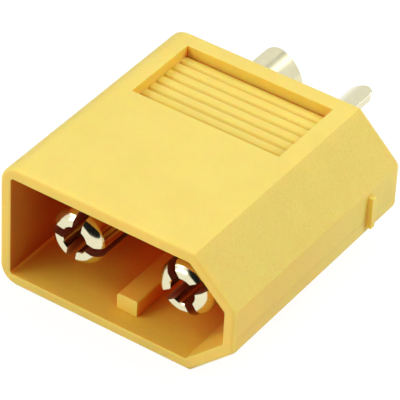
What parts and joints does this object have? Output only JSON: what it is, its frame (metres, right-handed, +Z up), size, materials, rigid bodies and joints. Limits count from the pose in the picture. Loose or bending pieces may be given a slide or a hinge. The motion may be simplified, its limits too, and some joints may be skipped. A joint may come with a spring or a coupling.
{
  "type": "xt60 connector",
  "caption": "Keyed, polarised power plug half: a moulded housing with a shroud over split round pins, ribbed grip recesses and half-open solder cups at the rear.",
  "frame": {"origin": "on the base face, midway between the poles and at half the housing's length", "axes": "+X across the poles toward the chamfered side, +Y from the mouth toward the solder cups, +Z up from the base face"},
  "size_m": [0.0164, 0.0206, 0.0082],
  "materials": {
    "yellow_moulding": "moulded, fine spark-eroded grain on the chamfers, smoother on the flats",
    "plated_contact": "turned and thinly plated, pale silvery gold"
  },
  "bodies": {
    "root": {"housing": "yellow_moulding", "positive_contact": "plated_contact", "negative_contact": "plated_contact"}
  },
  "joints": []
}
